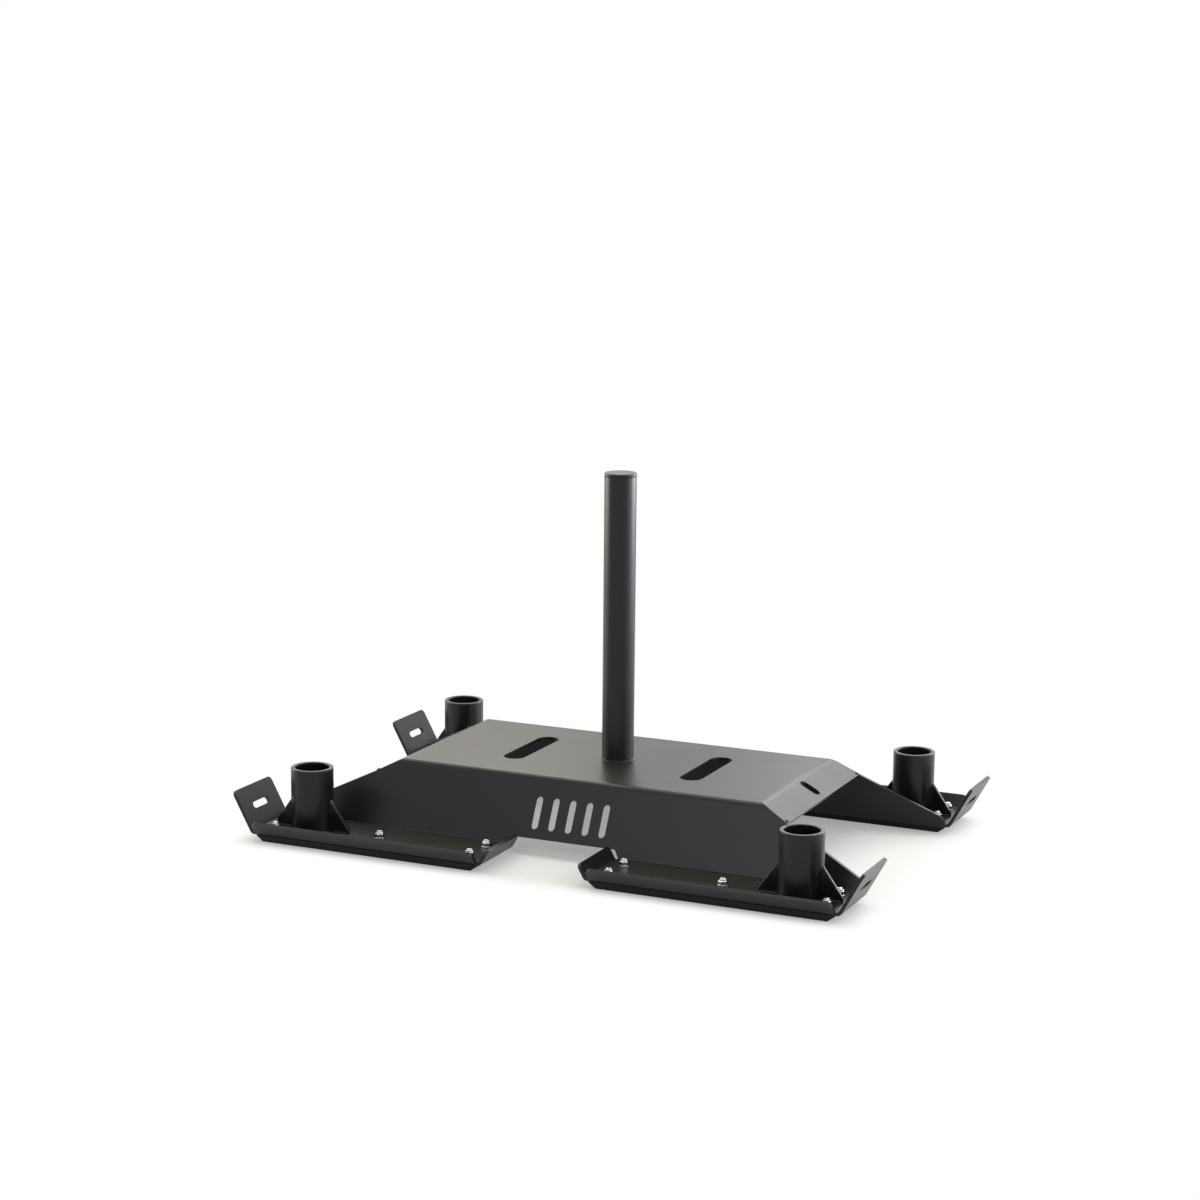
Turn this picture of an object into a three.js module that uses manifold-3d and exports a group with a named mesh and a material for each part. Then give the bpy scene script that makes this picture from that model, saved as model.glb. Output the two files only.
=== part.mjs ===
// A drag sled: a folded steel body, a weight post in its middle, and a tray at each corner.
// Each tray carries a socket for a push pole and stands on a bolted wear skid.
// Millimetres, +Z up, +X along the sled, origin on the ground under the middle of the post.

import * as THREE from "three";
import { mergeVertices } from "three/addons/utils/BufferGeometryUtils.js";
import Module from "manifold-3d";

const wasm = await Module();
wasm.setup();

const degrees = THREE.MathUtils.degToRad;

// Stock and fits
const plate = 5; // sheet of the body and the trays
const bodyBend = 7; // radius inside the long folds of the body
const creaseBend = 20; // radius inside the shallow folds at the ends of the deck
const trayBend = 3; // radius inside the folds of the trays
const seatGap = 0.3; // clearance where two pieces touch
const overrun = 10; // how far a cutter runs past what it cuts

// Folded body
const deckHeight = 111; // top of the deck above the ground
const deckLength = 580; // crease to crease
const deckWidth = 289; // edge to edge, measured to the sharp corners
const sideFlare = degrees(26.8); // how far the side plates lean out from upright
const sideLength = 918; // side plate, tip to tip
const sideTipHeight = 28; // where the falling edge would meet the end of the plate
const sideTipRadius = 15;
const slopeAngle = degrees(27.5); // fall of the end slopes
const slopeLength = 48.8; // crease to lower edge, along the fall
const archLength = 160; // raised lower edge between the trays
const archHeight = 26;
const archLean = degrees(34); // lean of the cut at each end of the arch
const archRadius = 3;

// Openings in the body
const deckSlotLength = 150;
const deckSlotWidth = 34;
const deckSlotOffset = 145; // from the post to the middle of a slot
const sideSlotCount = 5;
const sideSlotLength = 50;
const sideSlotWidth = 12;
const sideSlotPitch = 27;
const sideSlotHeight = 61; // middle of a slot above the ground
const towSlotLength = 34;
const towSlotWidth = 18;
const towSlotOffset = 22; // from the crease to the middle of the slot

// Weight post
const postDiameter = 48.3;
const postWall = 4;
const postHeight = 547.5; // top of the cap above the ground
const capThickness = 5;
const capEdge = 1; // bevel round the top of the cap
const spigotLength = 12; // part of the cap that plugs the post
const doublerSide = 110; // square plate that backs the deck under the post
const doublerThickness = 6;
const doublerCorner = 12;

// Trays
const trayHeight = 10; // underside of the tray above the ground
const trayGap = 164.4; // between the folds of the left and the right tray
const trayLength = 382.4; // fold to fold
const trayWidth = 102.2; // side plate to outer fold
const sideFlangeLength = 25.3;
const sideFlangeAngle = degrees(50);
const cornerNotch = 2.5; // relief between the side flange and the folds at both ends
const endFlangeLength = 24.6;
const endFlangeAngle = degrees(60);
const flangeRadius = 8;
const tabLength = 68.5;
const tabAngle = degrees(61.2);
const tabRadius = 8;
const tabSlotLength = 44;
const tabSlotWidth = 10;
const tabSlotOffset = 37; // from the fold to the middle of the slot

// Wear skids
const skidInsetInner = 6; // from the inner fold of the tray
const skidInsetOuter = 8; // from the fold of the tab
const skidSideGap = 1.5; // from the long edges of the tray's floor
const skidBevelRun = 11;
const skidBevelRise = 8;

// Sockets and their gussets
const socketDiameter = 63.5;
const socketWall = 6.35;
const socketHeight = 110.2; // top of the socket above the ground
const socketInset = 75.8; // from the fold of the tab to the middle of the socket
const rimEdge = 1.2; // bevel on the rim
const gussetThickness = 6;
const gussetReach = 30;
const gussetHeight = 47;
const gussetToe = 4.5; // upright end of the gusset's foot

// Bolts, with washer and nut
const boltDiameter = 8;
const boltHole = 9;
const boltInset = 28.2; // from the fold at either end of the tray
const boltSpacing = 54; // across the tray
const boltShift = 2; // from the middle of the tray towards its outer flange
const headDiameter = 16.5;
const headRim = 1; // upright rim of the countersunk head
const headRecess = 1.5; // how far the head lies above the worn face
const washerDiameter = 16;
const washerThickness = 1.6;
const nutWidth = 13; // across flats
const nutHeight = 6;
const collarHeight = 2; // locking collar on top of the nut
const collarDiameter = 11;
const tipLength = 2.4; // thread that stands past the collar
const tipEdge = 1;

// Facets
const roundSides = 36;
const smallSides = 12;
const hexSides = 6;
const cornerStep = degrees(15);

// Sizes that follow
const trayOutsideBend = trayBend + plate;
const deckHalfWidth = deckWidth / 2;
const creaseX = deckLength / 2;
const sideTipX = sideLength / 2;
const slopeRun = slopeLength * Math.cos(slopeAngle);
const slopeDrop = slopeLength * Math.sin(slopeAngle);
const deckUnderside = deckHeight - plate;
const bodyOutsideBend = bodyBend + plate;
const sideFold = Math.PI / 2 - sideFlare; // turn of the long folds
const trayTop = trayHeight + plate;
const skidTop = trayHeight - seatGap;
const trayInnerX = trayGap / 2;
const trayOuterX = trayInnerX + trayLength;
const trayInnerY = sideFaceY(trayHeight) + seatGap;
const trayOuterY = trayInnerY + trayWidth;
const trayMiddleY = (trayInnerY + trayOuterY) / 2;
const boltInnerX = trayInnerX + boltInset;
const boltOuterX = trayOuterX - boltInset;
const boltMiddleX = (boltInnerX + boltOuterX) / 2;
const socketX = trayOuterX - socketInset;

// Distance from the middle plane to the outer face of a side plate, at a height.
function sideFaceY(height) {
  return deckHalfWidth + (deckHeight - height) * Math.tan(sideFlare);
}

// Closed solid of a three.js geometry.
function solidOf(geometry) {
  const bare = geometry.index ? geometry.toNonIndexed() : geometry.clone();
  bare.deleteAttribute("normal");
  bare.deleteAttribute("uv");
  const merged = mergeVertices(bare);
  return new wasm.Manifold(
    new wasm.Mesh({
      numProp: 3,
      vertProperties: merged.attributes.position.array,
      triVerts: new Uint32Array(merged.index.array),
    }),
  );
}

// three.js geometry of a closed solid.
function geometryOf(solid) {
  const mesh = solid.getMesh();
  const geometry = new THREE.BufferGeometry();
  geometry.setAttribute("position", new THREE.BufferAttribute(mesh.vertProperties, 3));
  geometry.setIndex(new THREE.BufferAttribute(mesh.triVerts, 1));
  const faceted = geometry.toNonIndexed();
  faceted.computeVertexNormals();
  return faceted;
}

// Outline through corners given as [x, y, radius], where the radius may be left out.
function outline(corners) {
  const points = corners.flatMap(([x, y, radius = 0], i) => {
    const corner = new THREE.Vector2(x, y);
    if (radius === 0) return [corner];
    const before = corners[(i + corners.length - 1) % corners.length];
    const after = corners[(i + 1) % corners.length];
    const back = new THREE.Vector2(before[0], before[1]).sub(corner).normalize();
    const ahead = new THREE.Vector2(after[0], after[1]).sub(corner).normalize();
    const half = Math.acos(THREE.MathUtils.clamp(back.dot(ahead), -1, 1)) / 2;
    const turn = Math.PI - 2 * half;
    const steps = Math.max(1, Math.ceil(turn / cornerStep));
    const middle = back.clone().add(ahead).normalize();
    const centre = corner.clone().addScaledVector(middle, radius / Math.sin(half));
    const start = corner.clone().addScaledVector(back, radius / Math.tan(half));
    const sense = Math.sign(back.cross(ahead));
    return Array.from({ length: steps + 1 }, (_, k) =>
      start.clone().rotateAround(centre, (-sense * turn * k) / steps),
    );
  });
  return new THREE.Shape(points);
}

// Outline of a straight slot with round ends, along x.
function slotOutline(length, width) {
  const x = length / 2;
  const y = width / 2;
  return outline([
    [-x, -y, y],
    [x, -y, y],
    [x, y, y],
    [-x, y, y],
  ]);
}

// Solid of an outline, pushed both ways from its own plane, which then lies on two given axes.
function prism(shape, depth, along, up, origin = new THREE.Vector3()) {
  const geometry = new THREE.ExtrudeGeometry(shape, { depth, bevelEnabled: false });
  geometry.translate(0, 0, -depth / 2);
  const across = along.clone().cross(up);
  const frame = new THREE.Matrix4().makeBasis(along, up, across).setPosition(origin);
  return solidOf(geometry.applyMatrix4(frame));
}

// Solid turned about the upright axis from a profile of [radius, height].
function turned(profile, sides) {
  const points = profile.map(([radius, height]) => new THREE.Vector2(radius, height));
  return solidOf(new THREE.LatheGeometry(points, sides).rotateX(Math.PI / 2));
}

const alongX = new THREE.Vector3(1, 0, 0);
const alongY = new THREE.Vector3(0, 1, 0);
const upright = new THREE.Vector3(0, 0, 1);

// Side view of the sled body, ends rounded and the lower edge raised between the trays.
function sideOutline() {
  const slopeEndX = creaseX + slopeRun;
  const slopeEndZ = deckHeight - slopeDrop;
  const archX = archLength / 2;
  const footX = archX + (archHeight - trayHeight) * Math.tan(archLean);
  const right = [
    [archX, archHeight, archRadius],
    [footX, trayHeight],
    [sideTipX, trayHeight],
    [sideTipX, sideTipHeight, sideTipRadius],
    [slopeEndX, slopeEndZ],
    [creaseX, deckHeight, creaseBend + plate],
  ];
  const left = right.map(([x, z, radius]) => [-x, z, radius]).reverse();
  return outline([...right, ...left]);
}

// Side view of the hollow under the deck and the end slopes, open past their lower edges.
function hollowSideOutline() {
  const fall = new THREE.Vector2(Math.cos(slopeAngle), -Math.sin(slopeAngle));
  const square = new THREE.Vector2(Math.sin(slopeAngle), Math.cos(slopeAngle));
  const edge = new THREE.Vector2(creaseX, deckHeight).addScaledVector(fall, slopeLength);
  const under = edge.clone().addScaledVector(square, -plate);
  const above = edge.clone().addScaledVector(square, slopeDrop + overrun);
  const farX = sideTipX + overrun;
  const right = [
    [farX, -overrun],
    [farX, above.y],
    [above.x, above.y],
    [under.x, under.y],
    [creaseX - plate * Math.tan(slopeAngle / 2), deckUnderside, creaseBend],
  ];
  const left = right.map(([x, z, radius]) => [-x, z, radius]).reverse();
  return outline([...right, ...left]);
}

// End view of the body: a deck between two leaning sides, drawn at a depth inside its outer faces.
function endOutline(depth, bottom, radius) {
  const top = deckHeight - depth;
  const inward = depth / Math.cos(sideFlare);
  const topY = sideFaceY(top) - inward;
  const bottomY = sideFaceY(bottom) - inward;
  return outline([
    [bottomY, bottom],
    [topY, top, radius],
    [-topY, top, radius],
    [-bottomY, bottom],
  ]);
}

// How far before the sharp corner a fold starts, from its outer radius and its turn.
function foldSetback(radius, angle) {
  return radius * Math.tan(angle / 2);
}

// Block round one side plate, outward of its inner face and down from where the long fold ends.
function sidePlateRoom(side, clearance) {
  const outward = new THREE.Vector3(0, side * Math.cos(sideFlare), Math.sin(sideFlare));
  const down = new THREE.Vector3(0, side * Math.sin(sideFlare), -Math.cos(sideFlare));
  const inner = -plate - clearance;
  const top = foldSetback(bodyOutsideBend, sideFold) - clearance;
  const bottom = deckHeight / Math.cos(sideFlare) + overrun;
  const shape = outline([
    [inner, top],
    [overrun, top],
    [overrun, bottom],
    [inner, bottom],
  ]);
  const corner = new THREE.Vector3(0, side * deckHalfWidth, deckHeight);
  return prism(shape, sideLength + 2 * overrun, outward, down, corner);
}

// The whole folded body: deck, end slopes and side plates.
function bodySolid() {
  const wide = 2 * sideFaceY(-overrun);
  const long = sideLength + 2 * overrun;
  const outer = prism(endOutline(0, 0, bodyOutsideBend), long, alongY, upright).intersect(
    prism(sideOutline(), wide, alongX, upright),
  );
  const hollow = prism(endOutline(plate, -overrun, bodyBend), long, alongY, upright).intersect(
    prism(hollowSideOutline(), wide, alongX, upright),
  );
  let body = outer.subtract(hollow);
  const cutDepth = plate + 2 * overrun;

  const postHole = turned(
    [
      [0, deckUnderside - overrun],
      [postDiameter / 2 + seatGap, deckUnderside - overrun],
      [postDiameter / 2 + seatGap, deckHeight + overrun],
      [0, deckHeight + overrun],
    ],
    roundSides,
  );
  body = body.subtract(postHole);

  for (const end of [-1, 1]) {
    const deckSlot = prism(
      slotOutline(deckSlotLength, deckSlotWidth),
      cutDepth,
      alongY,
      alongX,
      new THREE.Vector3(end * deckSlotOffset, 0, deckHeight),
    );
    const fall = new THREE.Vector3(end * Math.cos(slopeAngle), 0, -Math.sin(slopeAngle));
    const towSlot = prism(
      slotOutline(towSlotLength, towSlotWidth),
      cutDepth,
      fall,
      alongY,
      new THREE.Vector3(end * creaseX, 0, deckHeight).addScaledVector(fall, towSlotOffset),
    );
    body = body.subtract(deckSlot).subtract(towSlot);
  }

  // The row of slots is in the front side plate only.
  const down = new THREE.Vector3(0, -Math.sin(sideFlare), -Math.cos(sideFlare));
  const sideSlot = slotOutline(sideSlotLength, sideSlotWidth);
  for (let i = 0; i < sideSlotCount; i++) {
    const x = (i - (sideSlotCount - 1) / 2) * sideSlotPitch;
    const middle = new THREE.Vector3(x, -sideFaceY(sideSlotHeight), sideSlotHeight);
    body = body.subtract(prism(sideSlot, cutDepth, down, alongX, middle));
  }
  return body;
}

// The body is one folded plate in life. It is parted here where each side plate begins.
function deckSolid(body) {
  return body.subtract(sidePlateRoom(-1, seatGap)).subtract(sidePlateRoom(1, seatGap));
}

function sidePlateSolid(body, side) {
  return body.intersect(sidePlateRoom(side, 0));
}

function postSolid() {
  const outer = postDiameter / 2;
  const bore = outer - postWall;
  const top = postHeight - capThickness - seatGap;
  return turned(
    [
      [bore, deckUnderside],
      [outer, deckUnderside],
      [outer, top],
      [bore, top],
      [bore, deckUnderside],
    ],
    roundSides,
  );
}

function postCapSolid() {
  const outer = postDiameter / 2;
  const spigot = outer - postWall - seatGap;
  const seat = postHeight - capThickness;
  return turned(
    [
      [0, seat - spigotLength],
      [spigot, seat - spigotLength],
      [spigot, seat],
      [outer, seat],
      [outer, postHeight - capEdge],
      [outer - capEdge, postHeight],
      [0, postHeight],
    ],
    roundSides,
  );
}

function doublerSolid() {
  const half = doublerSide / 2;
  const shape = outline([
    [-half, -half, doublerCorner],
    [half, -half, doublerCorner],
    [half, half, doublerCorner],
    [-half, half, doublerCorner],
  ]);
  const middle = deckUnderside - seatGap - doublerThickness / 2;
  return prism(shape, doublerThickness, alongX, alongY, new THREE.Vector3(0, 0, middle));
}

// Cutter that rounds a corner of a flange. The sharp corner lies at the origin of two directions
// that both point out of the flange.
function cornerCutter(radius, along, up, origin) {
  const steps = Math.ceil(Math.PI / 2 / cornerStep);
  const round = Array.from({ length: steps + 1 }, (_, k) => {
    const angle = (k / steps) * (Math.PI / 2);
    return new THREE.Vector2(radius * (Math.cos(angle) - 1), radius * (Math.sin(angle) - 1));
  });
  const shape = new THREE.Shape([
    new THREE.Vector2(-radius, overrun),
    new THREE.Vector2(overrun, overrun),
    new THREE.Vector2(overrun, -radius),
    ...round,
  ]);
  return prism(shape, 2 * plate + overrun, along, up, origin);
}

// Direction up a flange that leaves the floor towards a side, at an angle above level.
function riseOf(out, angle) {
  return out.clone().multiplyScalar(Math.cos(angle)).addScaledVector(upright, Math.sin(angle));
}

// Folded flange: a short run of floor, the fold at its sharp corner, then the rising plate.
// It lies between two places along its fold, and its top corners are round.
function flangeSolid(out, along, fold, low, high, angle, length, radius) {
  const rise = new THREE.Vector2(Math.cos(angle), Math.sin(angle));
  const square = new THREE.Vector2(-Math.sin(angle), Math.cos(angle));
  const tip = new THREE.Vector2(0, trayHeight).addScaledVector(rise, length);
  const innerTip = tip.clone().addScaledVector(square, plate);
  const start = -foldSetback(trayOutsideBend, angle) - plate;
  const shape = outline([
    [start, trayHeight],
    [0, trayHeight, trayOutsideBend],
    [tip.x, tip.y],
    [innerTip.x, innerTip.y],
    [-plate * Math.tan(angle / 2), trayTop, trayBend],
    [start, trayTop],
  ]);
  const origin = out.clone().multiplyScalar(fold);
  const middle = origin.clone().addScaledVector(along, (low + high) / 2);
  const up = riseOf(out, angle);
  const corner = origin.clone().addScaledVector(upright, trayHeight).addScaledVector(up, length);
  const highCorner = corner.clone().addScaledVector(along, high);
  const lowCorner = corner.clone().addScaledVector(along, low);
  return prism(shape, high - low, out, upright, middle)
    .subtract(cornerCutter(radius, along, up, highCorner))
    .subtract(cornerCutter(radius, along.clone().negate(), up, lowCorner));
}

function boltPlaces() {
  const corners = [boltInnerX, boltOuterX].flatMap((x) =>
    [-1, 1].map((side) => [x, trayMiddleY + boltShift + (side * boltSpacing) / 2]),
  );
  return [...corners, [boltMiddleX, trayMiddleY + boltShift]];
}

// Plain round cutter or pin along z, between two heights.
function upPin(diameter, bottom, top, [x, y]) {
  const height = top - bottom;
  const geometry = new THREE.CylinderGeometry(diameter / 2, diameter / 2, height, smallSides);
  geometry.rotateX(Math.PI / 2).translate(x, y, bottom + height / 2);
  return solidOf(geometry);
}

// Tray of the right rear corner: floor, side flange, inner end flange and tall end tab.
function traySolid() {
  const innerEndX = trayInnerX + foldSetback(trayOutsideBend, endFlangeAngle);
  const outerEndX = trayOuterX - foldSetback(trayOutsideBend, tabAngle);
  const floorEndY = trayOuterY - foldSetback(trayOutsideBend, sideFlangeAngle);
  const floorShape = outline([
    [trayInnerY, trayHeight],
    [floorEndY, trayHeight],
    [floorEndY, trayTop],
    [sideFaceY(trayTop) + seatGap, trayTop],
  ]);
  const floorMiddle = new THREE.Vector3((innerEndX + outerEndX) / 2, 0, 0);
  const floor = prism(floorShape, outerEndX - innerEndX, alongY, upright, floorMiddle);
  const sideFlange = flangeSolid(
    alongY,
    alongX,
    trayOuterY,
    innerEndX + cornerNotch,
    outerEndX - cornerNotch,
    sideFlangeAngle,
    sideFlangeLength,
    flangeRadius,
  );
  const endFlange = flangeSolid(
    alongX.clone().negate(),
    alongY,
    -trayInnerX,
    trayInnerY,
    trayOuterY,
    endFlangeAngle,
    endFlangeLength,
    flangeRadius,
  );
  const tab = flangeSolid(
    alongX,
    alongY,
    trayOuterX,
    trayInnerY,
    trayOuterY,
    tabAngle,
    tabLength,
    tabRadius,
  );
  const tabRise = riseOf(alongX, tabAngle);
  const tabSlot = prism(
    slotOutline(tabSlotLength, tabSlotWidth),
    2 * plate + overrun,
    alongY,
    tabRise,
    new THREE.Vector3(trayOuterX, trayMiddleY, trayHeight).addScaledVector(tabRise, tabSlotOffset),
  );
  let tray = floor.add(sideFlange).add(endFlange).add(tab).subtract(tabSlot);
  for (const place of boltPlaces()) {
    tray = tray.subtract(upPin(boltHole, trayHeight - overrun, trayTop + overrun, place));
  }
  return tray;
}

// Wear skid of the right rear corner, bevelled at both ends and countersunk from below.
function skidSolid() {
  const low = trayInnerX + skidInsetInner;
  const high = trayOuterX - skidInsetOuter;
  const innerY = trayInnerY + skidSideGap;
  const outerY = trayOuterY - skidSideGap;
  const shape = outline([
    [low + skidBevelRun, 0],
    [high - skidBevelRun, 0],
    [high, skidBevelRise],
    [high, skidTop],
    [low, skidTop],
    [low, skidBevelRise],
  ]);
  const middle = new THREE.Vector3(0, (innerY + outerY) / 2, 0);
  let skid = prism(shape, outerY - innerY, alongX, upright, middle);
  const radius = headDiameter / 2 + seatGap;
  const coneTop = headRecess + headRim + (radius - boltHole / 2);
  const sink = turned(
    [
      [0, -overrun],
      [radius, -overrun],
      [radius, headRecess + headRim],
      [boltHole / 2, coneTop],
      [boltHole / 2, skidTop + overrun],
      [0, skidTop + overrun],
    ],
    smallSides,
  );
  for (const [x, y] of boltPlaces()) {
    skid = skid.subtract(sink.translate(x, y, 0));
  }
  return skid;
}

function socketSolid() {
  const outer = socketDiameter / 2;
  const bore = outer - socketWall;
  const bottom = trayTop + seatGap;
  return turned(
    [
      [bore, bottom],
      [outer, bottom],
      [outer, socketHeight - rimEdge],
      [outer - rimEdge, socketHeight],
      [bore + rimEdge, socketHeight],
      [bore, socketHeight - rimEdge],
      [bore, bottom],
    ],
    roundSides,
  );
}

// Gusset on the side of the socket that faces along x.
function gussetSolid() {
  const wall = socketDiameter / 2 + seatGap;
  const floor = trayTop + seatGap;
  const shape = outline([
    [wall, floor],
    [wall + gussetReach, floor],
    [wall + gussetReach, floor + gussetToe],
    [wall, floor + gussetHeight],
  ]);
  return prism(shape, gussetThickness, alongX, upright);
}

// Countersunk bolt with its washer and locking nut.
function boltSolid() {
  const shank = boltDiameter / 2;
  const head = headDiameter / 2;
  const coneTop = headRecess + headRim + head - shank;
  const washerBottom = trayTop + seatGap;
  const nutBottom = washerBottom + washerThickness;
  const nutTop = nutBottom + nutHeight;
  const collarTop = nutTop + collarHeight;
  const tip = collarTop + tipLength;
  const round = turned(
    [
      [0, headRecess],
      [head, headRecess],
      [head, headRecess + headRim],
      [shank, coneTop],
      [shank, washerBottom],
      [washerDiameter / 2, washerBottom],
      [washerDiameter / 2, nutBottom],
      [collarDiameter / 2, nutBottom],
      [collarDiameter / 2, nutTop],
      [shank + tipEdge, collarTop],
      [shank, collarTop],
      [shank, tip - tipEdge],
      [shank - tipEdge, tip],
      [0, tip],
    ],
    smallSides,
  );
  const corner = nutWidth / 2 / Math.cos(Math.PI / hexSides);
  const nut = new THREE.CylinderGeometry(corner, corner, nutHeight, hexSides);
  nut.rotateX(Math.PI / 2).translate(0, 0, nutBottom + nutHeight / 2);
  return round.add(solidOf(nut));
}

const paint = () => new THREE.MeshStandardMaterial({ color: 0x232427, roughness: 0.5, metalness: 0.2 });
const plastic = () => new THREE.MeshStandardMaterial({ color: 0x141414, roughness: 0.6, metalness: 0 });
const zinc = () => new THREE.MeshStandardMaterial({ color: 0xc4c8cc, roughness: 0.3, metalness: 1 });

const sled = new THREE.Group();

function addPiece(group, name, geometry, material, x = 0, y = 0, z = 0) {
  const mesh = new THREE.Mesh(geometry, material);
  mesh.name = name;
  mesh.position.set(x, y, z);
  group.add(mesh);
  return mesh;
}

const body = bodySolid();
addPiece(sled, "deck", geometryOf(deckSolid(body)), paint());
addPiece(sled, "front_side_plate", geometryOf(sidePlateSolid(body, -1)), paint());
addPiece(sled, "rear_side_plate", geometryOf(sidePlateSolid(body, 1)), paint());
addPiece(sled, "weight_post", geometryOf(postSolid()), paint());
addPiece(sled, "post_cap", geometryOf(postCapSolid()), paint());
addPiece(sled, "post_doubler", geometryOf(doublerSolid()), paint());

const trayGeometry = geometryOf(traySolid());
const skidGeometry = geometryOf(skidSolid());
const socketGeometry = geometryOf(socketSolid());
const gussetGeometry = geometryOf(gussetSolid());
const boltGeometry = geometryOf(boltSolid());

for (const [endName, end] of [["left", -1], ["right", 1]]) {
  for (const [sideName, side] of [["front", -1], ["rear", 1]]) {
    const corner = new THREE.Group();
    corner.scale.set(end, side, 1);
    sled.add(corner);
    const prefix = `${sideName}_${endName}`;
    addPiece(corner, `${prefix}_tray`, trayGeometry, paint());
    addPiece(corner, `${prefix}_skid`, skidGeometry, plastic());
    addPiece(corner, `${prefix}_socket`, socketGeometry, paint(), socketX, trayMiddleY);
    addPiece(corner, `${prefix}_outer_gusset`, gussetGeometry, paint(), socketX, trayMiddleY);
    const inner = addPiece(
      corner,
      `${prefix}_inner_gusset`,
      gussetGeometry,
      paint(),
      socketX,
      trayMiddleY,
    );
    inner.rotation.z = Math.PI;
    boltPlaces().forEach(([x, y], i) => {
      addPiece(corner, `${prefix}_bolt_${i + 1}`, boltGeometry, zinc(), x, y);
    });
  }
}

export default sled;
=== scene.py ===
import math

import bmesh
import bpy
import numpy as np
from mathutils import Matrix, Vector


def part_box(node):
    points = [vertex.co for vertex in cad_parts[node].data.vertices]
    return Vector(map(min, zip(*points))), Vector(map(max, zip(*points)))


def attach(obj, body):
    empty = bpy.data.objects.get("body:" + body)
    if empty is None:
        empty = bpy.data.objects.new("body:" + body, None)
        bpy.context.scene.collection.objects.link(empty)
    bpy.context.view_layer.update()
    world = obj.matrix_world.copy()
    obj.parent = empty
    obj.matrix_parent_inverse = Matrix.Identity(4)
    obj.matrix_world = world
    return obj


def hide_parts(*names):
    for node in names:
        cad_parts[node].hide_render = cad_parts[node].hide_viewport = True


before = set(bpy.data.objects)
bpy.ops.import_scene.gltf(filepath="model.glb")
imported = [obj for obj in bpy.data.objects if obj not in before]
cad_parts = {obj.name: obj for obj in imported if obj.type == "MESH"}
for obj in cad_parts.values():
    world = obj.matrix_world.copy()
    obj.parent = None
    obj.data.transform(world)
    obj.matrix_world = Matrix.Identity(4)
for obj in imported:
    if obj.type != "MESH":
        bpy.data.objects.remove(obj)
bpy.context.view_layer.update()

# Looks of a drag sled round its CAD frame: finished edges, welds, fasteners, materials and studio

MM = 0.001  # all lengths are in metres
CORNERS = [(side, end) for side in ("front", "rear") for end in ("left", "right")]
SIGN = {"left": -1, "right": 1, "front": -1, "rear": 1}
UP = Vector((0, 0, 1))

# Finished edges
PLATE_EDGE = 0.9 * MM
SKID_EDGE = 0.7 * MM
SHARP_ANGLE = math.radians(25)
FLAT_ANGLE = math.radians(0.4)
HARD_ANGLE = math.radians(50)  # turn that stays a hard line in the shading
MERGE = 0.002 * MM
EDGE_SEGMENTS = 2
PLATE = 5 * MM
SEAT_GAP = 0.3 * MM  # clearance that the CAD leaves between touching pieces
ALIKE = math.cos(math.radians(1))  # least dot product of two directions that count as one
CLIMB_SHARE = 0.5  # least upward share of the normal of a face that counts as a top
LEAN_SHARES = (0.1, 0.9)  # sideways share of an end slope's normal
# The rim attribute is 1 on the weld beads too. Where it is 1 the paint is glossier and lighter, partly as
# a painted highlight.
RIM = "rim"  # attribute that is 1 on a rounded edge and 0 elsewhere

# Round pieces
ROUND_SIDES = 96
ARC_STEP = math.radians(15)
SOCKET_WALL = 6.35 * MM
RIM_ROUND = 1.6 * MM
CAP_ROUND = 1.2 * MM
CAP_SEAM = 0.4 * MM

# Welds
WELD_STEP = 1.5 * MM
WELD_SIDES = 10
RIPPLE_PITCH = 4.2 * MM
RIPPLE_SHARE = 0.1
TAPER_SHARE = 0.8  # of a bead's radius one step from its end
UPRIGHT_SHARE = 0.1  # least level share of a bead's direction that isn't upright
SEAM_BEAD = 1.2 * MM
POST_BEAD = 1.4 * MM
SOCKET_BEAD = 2.2 * MM
GUSSET_BEAD = 1.6 * MM
SLOPE_BEAD = 2 * MM
TACK_BEAD = 1.7 * MM
TACK_LENGTH = 7 * MM

# Fasteners
BOLTS_PER_TRAY = 5
BOLT_RADIUS = 4 * MM
THREAD_DEPTH = 0.55 * MM
THREAD_PITCH = 1.25 * MM
THREAD_STEPS = 8  # rings per turn of thread
HEAD_RADIUS = 8.25 * MM
HEAD_RIM = 1 * MM
HEX_KEY = 5 * MM
HEX_DEPTH = 2.2 * MM
WASHER_RADIUS = 8 * MM
WASHER_THICKNESS = 1.6 * MM
WASHER_ROUND = 0.25 * MM
NUT_WIDTH = 13 * MM
NUT_HEIGHT = 6 * MM
COLLAR_RADIUS = 5.5 * MM
COLLAR_HEIGHT = 2 * MM
COLLAR_ROUND = 0.9 * MM
NYLON_LIP = 0.7 * MM
TIP_CHAMFER = 0.6 * MM
TRAY_TOP = 15.3 * MM
BOLT_SIDES = 72

# Fine relief of the surfaces
PEEL_DEPTH = 0.05 * MM
POWDER_DEPTH = 0.035 * MM
DRAG_DEPTH = 0.03 * MM
PLASTIC_DEPTH = 0.02 * MM
TUMBLE_DEPTH = 0.01 * MM

# Floor
FLOOR_REACH = 30
FLOOR_CELLS = 4
FLOOR_FADE = 40 * MM  # from the skids' outline to plain white paper
FLOOR_NEAR_SHARE = 0.3  # of white inside that outline

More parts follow.
